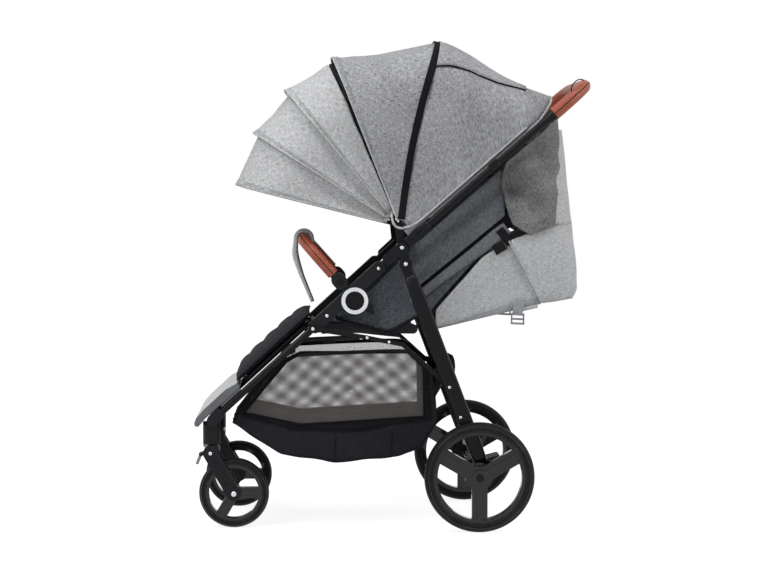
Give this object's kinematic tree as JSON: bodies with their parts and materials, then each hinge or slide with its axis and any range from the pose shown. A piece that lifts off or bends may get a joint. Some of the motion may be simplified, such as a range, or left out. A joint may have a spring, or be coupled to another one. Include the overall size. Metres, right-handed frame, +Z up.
{
  "type": "pushchair",
  "caption": "Folding four-wheel pushchair with swivel front wheels, fan canopy, reclining padded seat, leather handle and bumper bar, and a net-sided basket.",
  "frame": {"origin": "on the ground, under the middle of the whole pushchair", "axes": "+Z up; the pushchair faces -X; its left side is -Y"},
  "size_m": [0.9224, 0.5944, 1.1292],
  "materials": {
    "frame": "satin black",
    "housing": "fine grain black",
    "white_ring": "white",
    "gloss_black": "gloss black",
    "footrest_grey": "mid grey",
    "board": "black",
    "seat_cloth": "woven dark grey",
    "button_red": "red",
    "basket_cloth": "woven charcoal",
    "net": "knitted net",
    "rivet": "polished",
    "brown_leather": "stitched",
    "pale_cloth": "sheer pale grey",
    "canopy_cloth": "heather grey",
    "skirt_cloth": "heather grey",
    "bow": "black",
    "steel": "brushed",
    "tyre": "matte",
    "lever_grey": "grey",
    "back_cloth": "woven grey",
    "leg_cloth": "quilted charcoal",
    "strap_cloth": "heather grey",
    "webbing": "webbing"
  },
  "bodies": {
    "chassis": {"front_leg_left": "frame", "front_leg_right": "frame", "leg_housings": "housing", "hub_rings": "white_ring", "hub_caps": "gloss_black", "hinge_brackets": "housing", "caster_sockets": "housing", "front_crossbar": "frame", "footrest": "footrest_grey", "seat_base": "board", "seat_pad": "seat_cloth", "seat_sides": "seat_cloth", "harness_buckle": "housing", "basket_tub": "basket_cloth", "basket_net": "net", "frame_rivets": "rivet", "recline_strap": "webbing", "recline_sling": "pale_cloth", "canopy_rear": "canopy_cloth"},
    "upper_frame": {"upper_tube_left": "frame", "upper_tube_right": "frame", "handle_bar": "frame", "handle_grip": "brown_leather", "handle_collars": "housing", "canopy_skirt": "skirt_cloth"},
    "fold_latch_left": {"fold_latch_left": "housing"},
    "fold_latch_right": {"fold_latch_right": "housing"},
    "rear_legs": {"rear_leg_left": "frame", "rear_leg_right": "frame", "rear_axle": "frame"},
    "brace_front": {"brace_fronts": "frame"},
    "brace_rear": {"brace_rears": "frame"},
    "rear_wheel_left": {"rear_tyre_left": "tyre", "rear_rim_left": "gloss_black"},
    "rear_wheel_right": {"rear_tyre_right": "tyre", "rear_rim_right": "gloss_black"},
    "brake_pedal": {"brake_pedal": "housing"},
    "brake_pin_left": {"brake_pin_left": "steel"},
    "brake_pin_right": {"brake_pin_right": "steel"},
    "fork_left": {"fork_left": "housing"},
    "fork_right": {"fork_right": "housing"},
    "front_wheel_left": {"front_tyre_left": "tyre", "front_rim_left": "gloss_black"},
    "front_wheel_right": {"front_tyre_right": "tyre", "front_rim_right": "gloss_black"},
    "swivel_lock_left": {"swivel_lock_left": "lever_grey"},
    "swivel_lock_right": {"swivel_lock_right": "lever_grey"},
    "backrest": {"backrest_board": "board", "backrest_pad": "back_cloth"},
    "leg_rest": {"leg_rest": "leg_cloth"},
    "bumper": {"bumper_bar": "housing", "bumper_grip": "brown_leather", "crotch_strap": "strap_cloth"},
    "bumper_button_left": {"bumper_button_left": "housing"},
    "bumper_button_right": {"bumper_button_right": "housing"},
    "buckle_button": {"buckle_button": "button_red"},
    "canopy_lip": {"canopy_lip": "bow", "canopy_cloth": "canopy_cloth"},
    "canopy_bow": {"canopy_bow": "bow"},
    "canopy_hoop": {"canopy_hoop": "bow"}
  },
  "joints": [
    {"name": "fold", "type": "hinge", "parent": "chassis", "child": "upper_frame", "pos_m": [0.02, 0, 0.653], "axis": [0, -1, 0], "range_deg": [0, 140], "deforming": ["canopy_rear", "canopy_skirt", "recline_sling", "basket_tub", "basket_net"]},
    {"name": "rear_leg_swing", "type": "hinge", "parent": "chassis", "child": "rear_legs", "pos_m": [0.028, 0, 0.616], "axis": [0, -1, 0], "range_deg": [-49, 0]},
    {"name": "brace_front_swing", "type": "hinge", "parent": "chassis", "child": "brace_front", "pos_m": [-0.18496, 0, 0.46519], "axis": [0, -1, 0], "range_deg": [0, 68.2]},
    {"name": "brace_rear_swing", "type": "hinge", "parent": "rear_legs", "child": "brace_rear", "pos_m": [0.129, 0, 0.332], "axis": [0, -1, 0], "range_deg": [-10.1, 0]},
    {"name": "backrest_recline", "type": "hinge", "parent": "chassis", "child": "backrest", "pos_m": [0.048, 0, 0.462], "axis": [0, -1, 0], "range_deg": [-35, 0]},
    {"name": "leg_rest_lift", "type": "hinge", "parent": "chassis", "child": "leg_rest", "pos_m": [-0.18496, 0, 0.46519], "axis": [0, -1, 0], "range_deg": [-42, 0]},
    {"name": "canopy_fold", "type": "hinge", "parent": "chassis", "child": "canopy_lip", "pos_m": [0.015, 0, 0.703], "axis": [0, -1, 0], "range_deg": [-90, 0], "deforming": ["canopy_cloth"]},
    {"name": "canopy_bow_follow", "type": "hinge", "parent": "chassis", "child": "canopy_bow", "pos_m": [0.015, 0, 0.703], "axis": [0, -1, 0], "range_deg": [-60, 0]},
    {"name": "canopy_hoop_follow", "type": "hinge", "parent": "chassis", "child": "canopy_hoop", "pos_m": [0.015, 0, 0.703], "axis": [0, -1, 0], "range_deg": [-12, 0]},
    {"name": "swivel_left", "type": "hinge", "parent": "chassis", "child": "fork_left", "pos_m": [-0.421, -0.1774, 0.1895], "axis": [0, 0, 1], "continuous": true},
    {"name": "front_wheel_spin_left", "type": "hinge", "parent": "fork_left", "child": "front_wheel_left", "pos_m": [-0.369, -0.1774, 0.0815], "axis": [0, 1, 0], "continuous": true},
    {"name": "swivel_lock_lift_left", "type": "hinge", "parent": "fork_left", "child": "swivel_lock_left", "pos_m": [-0.446, -0.1774, 0.1715], "axis": [0, -1, 0], "range_deg": [-35, 0]},
    {"name": "rear_wheel_spin_left", "type": "hinge", "parent": "rear_legs", "child": "rear_wheel_left", "pos_m": [0.197, -0.273, 0.127], "axis": [0, 1, 0], "continuous": true},
    {"name": "brake_pin_slide_left", "type": "slide", "parent": "rear_legs", "child": "brake_pin_left", "axis": [0, -1, 0], "range_m": [0, 0.009]},
    {"name": "bumper_button_press_left", "type": "slide", "parent": "bumper", "child": "bumper_button_left", "axis": [0, -1, 0], "range_m": [-0.0028, 0], "stiffness_N_per_m": 400},
    {"name": "fold_latch_slide_left", "type": "slide", "parent": "upper_frame", "child": "fold_latch_left", "axis": [0.7524, 0, 0.6587], "range_m": [0, 0.012], "stiffness_N_per_m": 300},
    {"name": "swivel_right", "type": "hinge", "parent": "chassis", "child": "fork_right", "pos_m": [-0.421, 0.1774, 0.1895], "axis": [0, 0, 1], "continuous": true},
    {"name": "front_wheel_spin_right", "type": "hinge", "parent": "fork_right", "child": "front_wheel_right", "pos_m": [-0.369, 0.1774, 0.0815], "axis": [0, 1, 0], "continuous": true},
    {"name": "swivel_lock_lift_right", "type": "hinge", "parent": "fork_right", "child": "swivel_lock_right", "pos_m": [-0.446, 0.1774, 0.1715], "axis": [0, -1, 0], "range_deg": [-35, 0]},
    {"name": "rear_wheel_spin_right", "type": "hinge", "parent": "rear_legs", "child": "rear_wheel_right", "pos_m": [0.197, 0.273, 0.127], "axis": [0, 1, 0], "continuous": true},
    {"name": "brake_pin_slide_right", "type": "slide", "parent": "rear_legs", "child": "brake_pin_right", "axis": [0, 1, 0], "range_m": [0, 0.009]},
    {"name": "bumper_button_press_right", "type": "slide", "parent": "bumper", "child": "bumper_button_right", "axis": [0, 1, 0], "range_m": [-0.0028, 0], "stiffness_N_per_m": 400},
    {"name": "fold_latch_slide_right", "type": "slide", "parent": "upper_frame", "child": "fold_latch_right", "axis": [0.7524, 0, 0.6587], "range_m": [0, 0.012], "stiffness_N_per_m": 300},
    {"name": "brake_press", "type": "hinge", "parent": "rear_legs", "child": "brake_pedal", "pos_m": [0.197, 0, 0.127], "axis": [0, -1, 0], "range_deg": [-22, 0]},
    {"name": "bumper_pull_off", "type": "slide", "parent": "chassis", "child": "bumper", "axis": [0.6626, 0, -0.749], "range_m": [-0.04, 0]},
    {"name": "buckle_press", "type": "slide", "parent": "chassis", "child": "buckle_button", "axis": [0.1132, 0, 0.9936], "range_m": [-0.0028, 0], "stiffness_N_per_m": 400}
  ],
  "couplings": [
    {"joint": "rear_leg_swing", "follows": "fold", "ratio": -0.35},
    {"joint": "brace_front_swing", "follows": "fold", "ratio": 0.48714},
    {"joint": "brace_rear_swing", "follows": "fold", "ratio": -0.072143},
    {"joint": "canopy_bow_follow", "follows": "canopy_fold", "ratio": 0.66667},
    {"joint": "canopy_hoop_follow", "follows": "canopy_fold", "ratio": 0.13333},
    {"joint": "brake_pin_slide_left", "follows": "brake_press", "m_per_rad": -0.023439},
    {"joint": "brake_pin_slide_right", "follows": "brake_press", "m_per_rad": -0.023439},
    {"joint": "fold_latch_slide_right", "follows": "fold_latch_slide_left", "ratio": 1}
  ]
}
